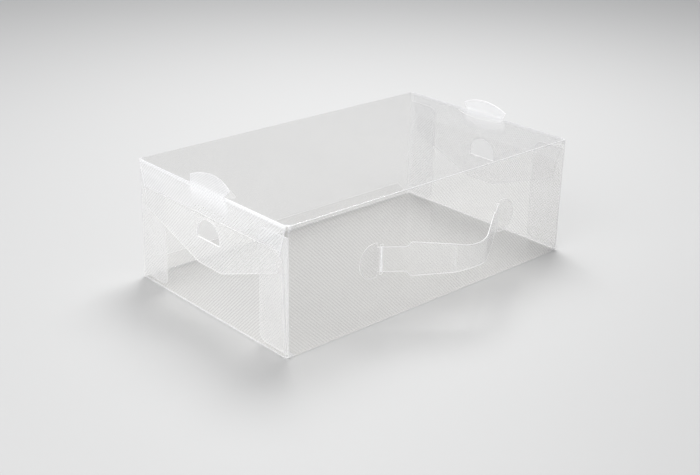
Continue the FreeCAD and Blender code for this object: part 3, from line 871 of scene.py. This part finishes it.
def film(name, haze, stripe, tint, rough, relief=1.0):
    """See-through plastic: clear between its pressed stripes, milky on them and white where it is bent.

    haze and stripe are how milky the plain film and its stripes are, from 0 to 1, tint is the milk's colour,
    which for the walls, ends and flaps holds painted shade and light, rough the gloss's roughness, and relief
    how much of the stripes' height shows."""
    material = bpy.data.materials.new(name)
    material.use_nodes = True
    tree = material.node_tree
    tree.nodes.clear()
    uv = add(tree, "ShaderNodeUVMap", uv_map="blank").outputs[0]

    # stripes at 45 degrees over the flat blank, not quite straight
    slant = math.sqrt(0.5) / STRIPE_PITCH
    across = add(tree, "ShaderNodeVectorMath", operation="DOT_PRODUCT", in_0=uv,
                 in_1=(slant, slant, 0.0)).outputs[1]
    wander = add(tree, "ShaderNodeTexNoise", in_Vector=uv, in_Scale=30.0, in_Detail=2.0).outputs[0]
    place = maths(tree, "ADD", across, maths(tree, "MULTIPLY", wander, 0.35))
    centred = maths(tree, "SUBTRACT", maths(tree, "FRACT", place), 0.5)
    wave = maths(tree, "MULTIPLY", maths(tree, "ABSOLUTE", centred), 2.0)
    line = ramp(tree, wave, 0.45, 0.8)
    depth = add(tree, "ShaderNodeAttribute", attribute_name="stripes").outputs[2]
    pressed = maths(tree, "MULTIPLY", line, depth)

    # clouds, grain and dust
    cloud = add(tree, "ShaderNodeTexNoise", in_Vector=uv, in_Scale=14.0, in_Detail=3.0,
                in_Roughness=0.55).outputs[0]
    grain = add(tree, "ShaderNodeTexNoise", in_Vector=uv, in_Scale=900.0, in_Detail=2.0).outputs[0]
    speck = add(tree, "ShaderNodeTexVoronoi", in_Vector=uv, in_Scale=160.0, in_Randomness=1.0).outputs[0]
    dust = maths(tree, "MULTIPLY", ramp(tree, speck, 0.0, 0.07, 1.0, 0.0), ramp(tree, grain, 0.5, 0.62))

    # how milky: the film itself, its stripes and its dust, and more of them where it is seen aslant
    strength = ramp(tree, cloud, 0.3, 0.7, 0.75, 1.25)
    stripe_part = maths(tree, "MULTIPLY", maths(tree, "MULTIPLY", pressed, strength), stripe)
    base = maths(tree, "MULTIPLY", ramp(tree, cloud, 0.3, 0.7, 0.85, 1.15), haze)
    milky = maths(tree, "ADD", base, stripe_part)
    milky = maths(tree, "ADD", milky, maths(tree, "MULTIPLY", dust, 0.12))
    facing = add(tree, "ShaderNodeLayerWeight", in_Blend=0.5).outputs[1]
    milky = maths(tree, "MULTIPLY", milky, ramp(tree, facing, 0.0, 0.9, 1.0, 2.6, smooth=False))
    white = add(tree, "ShaderNodeAttribute", attribute_name="white").outputs[2]
    rough_white = maths(tree, "MULTIPLY", white, ramp(tree, grain, 0.3, 0.7, 0.7, 1.0))
    total = maths(tree, "ADD", milky, rough_white, clamp=True)

    # the milk, lit from both sides, in a clear body
    height = maths(tree, "ADD", pressed, maths(tree, "MULTIPLY", grain, 0.02))
    bump = add(tree, "ShaderNodeBump", in_Strength=0.2 * relief, in_Distance=STRIPE_HEIGHT,
               in_Height=height).outputs[0]
    mixed = add(tree, "ShaderNodeMix", data_type="RGBA", in_0=white)
    mixed.inputs[6].default_value = (*tint, 1)
    mixed.inputs[7].default_value = (0.99, 0.99, 0.99, 1)
    colour = mixed.outputs[2]
    front = add(tree, "ShaderNodeBsdfDiffuse", in_Color=colour, in_Normal=bump)
    behind = add(tree, "ShaderNodeBsdfTranslucent", in_Color=colour, in_Normal=bump)
    milk = add(tree, "ShaderNodeMixShader", in_0=0.45, in_1=front.outputs[0], in_2=behind.outputs[0])
    clear = add(tree, "ShaderNodeBsdfTransparent", in_Color=(0.996, 0.994, 0.990, 1))
    body = add(tree, "ShaderNodeMixShader", in_0=total, in_1=clear.outputs[0], in_2=milk.outputs[0])

    # gloss over it all, stronger where it is seen aslant
    slope = add(tree, "ShaderNodeLayerWeight", in_Blend=0.5, in_Normal=bump).outputs[1]
    fifth = maths(tree, "POWER", slope, 5.0)
    mirror = maths(tree, "ADD", maths(tree, "MULTIPLY", fifth, 0.8), 0.035)
    gloss = add(tree, "ShaderNodeBsdfAnisotropic", in_Color=(0.97, 0.97, 0.97, 1), in_Roughness=rough,
                in_Normal=bump)
    shader = add(tree, "ShaderNodeMixShader", in_0=mirror, in_1=body.outputs[0], in_2=gloss.outputs[0])
    output = add(tree, "ShaderNodeOutputMaterial", in_0=shader.outputs[0])
    output.is_active_output = True
    return material


def kind_of(piece):
    """Which copy of the plastic's film a piece gets; the copies differ in painted light and shade."""
    if piece.name.startswith("strap"):
        return "strap"
    if piece.name == "sleeve_sheet":
        return "wall"
    return "end" if "_end_" in piece.name else "flap"


def dress(pieces):
    """Each piece gets its film, and the same film turned white on its cut edges. Walls, ends and flaps are
    one plastic in three copies, with painted shade and light in their tints.
    """
    # one plastic: the walls' darker tint is painted shade, and the ends' and flaps' lighter tints are painted
    # light
    films = {
        "wall": film("wall_film_painted_shade", 0.022, 0.05, (0.75, 0.755, 0.77), 0.12),
        "end": film("end_film_painted_light", 0.045, 0.065, (0.97, 0.972, 0.975), 0.12),
        "flap": film("flap_film_painted_light", 0.15, 0.05, (0.91, 0.915, 0.93), 0.12),
        "strap": film("strap_film", 0.09, 0.0, (0.93, 0.935, 0.95), 0.15, relief=0.3),
    }
    edge = film("cut_edge", 0.5, 0.0, (0.95, 0.95, 0.95), 0.3)
    for piece in pieces:
        piece.data.materials.append(films[kind_of(piece)])
        piece.data.materials.append(edge)


# ---------------------------------------------------------------- room
def make_floor():
    half = 6.0
    corners = [(-half, -half, 0), (half, -half, 0), (half, half, 0), (-half, half, 0)]
    mesh = bpy.data.meshes.new("floor")
    mesh.from_pydata(corners, [], [(0, 1, 2, 3)])
    floor = bpy.data.objects.new("floor", mesh)
    bpy.context.scene.collection.objects.link(floor)
    floor.location.z = -0.2 * MM
    material = bpy.data.materials.new("floor_paper")
    material.use_nodes = True
    tree = material.node_tree
    shader = tree.nodes["Principled BSDF"]
    shader.inputs["Base Color"].default_value = (0.485, 0.485, 0.482, 1)
    shader.inputs["Roughness"].default_value = 0.6
    floor.data.materials.append(material)


def make_light(name, place, target, size, energy):
    light = bpy.data.lights.new(name, "AREA")
    light.shape = "RECTANGLE"
    light.size = size
    light.size_y = size
    light.energy = energy
    lamp = bpy.data.objects.new(name, light)
    bpy.context.scene.collection.objects.link(lamp)
    lamp.location = place
    lamp.rotation_euler = (Vector(target) - Vector(place)).to_track_quat("-Z", "Y").to_euler()


def make_room():
    """Soft light from the room, a key light over the back and a wide one from the left."""
    scene = bpy.context.scene
    scene.view_settings.view_transform = "Standard"
    scene.cycles.transparent_max_bounces = 48
    scene.cycles.max_bounces = 10
    world = bpy.data.worlds.new("studio")
    scene.world = world
    world.use_nodes = True
    background = world.node_tree.nodes["Background"]
    background.inputs["Color"].default_value = (0.60, 0.605, 0.62, 1)
    background.inputs["Strength"].default_value = 0.85
    make_light("key", (0.4, 0.35, 1.0), (0, 0.05, 0), 0.6, 12.5)
    make_light("left", (-1.1, -0.3, 0.8), (0, 0, 0), 1.1, 12)


def make_camera():
    """The camera stands at the box's left front, looks down on it and is turned slightly to one side."""
    azimuth, pitch, roll = math.radians(47.30), math.radians(23.01), math.radians(1.19)
    forward = Vector((math.cos(azimuth) * math.cos(pitch), math.sin(azimuth) * math.cos(pitch),
                      -math.sin(pitch)))
    level = forward.cross(UP).normalized()
    upright = level.cross(forward)
    right = level * math.cos(roll) + upright * math.sin(roll)
    up = upright * math.cos(roll) - level * math.sin(roll)
    data = bpy.data.cameras.new("camera")
    data.lens = 60.14
    data.sensor_width = 36.0
    camera = bpy.data.objects.new("camera", data)
    bpy.context.scene.collection.objects.link(camera)
    matrix = camera.matrix_world.copy()
    for column, way in enumerate((right, up, -forward)):
        for row in range(3):
            matrix[row][column] = way[row]
    matrix.translation = Vector((-0.6051, -0.6464, 0.3985))
    camera.matrix_world = matrix
    bpy.context.scene.camera = camera


make_camera()
make_floor()
make_room()
PIECES = [make_sleeve()] + make_flaps() + make_strap()
dress(PIECES)
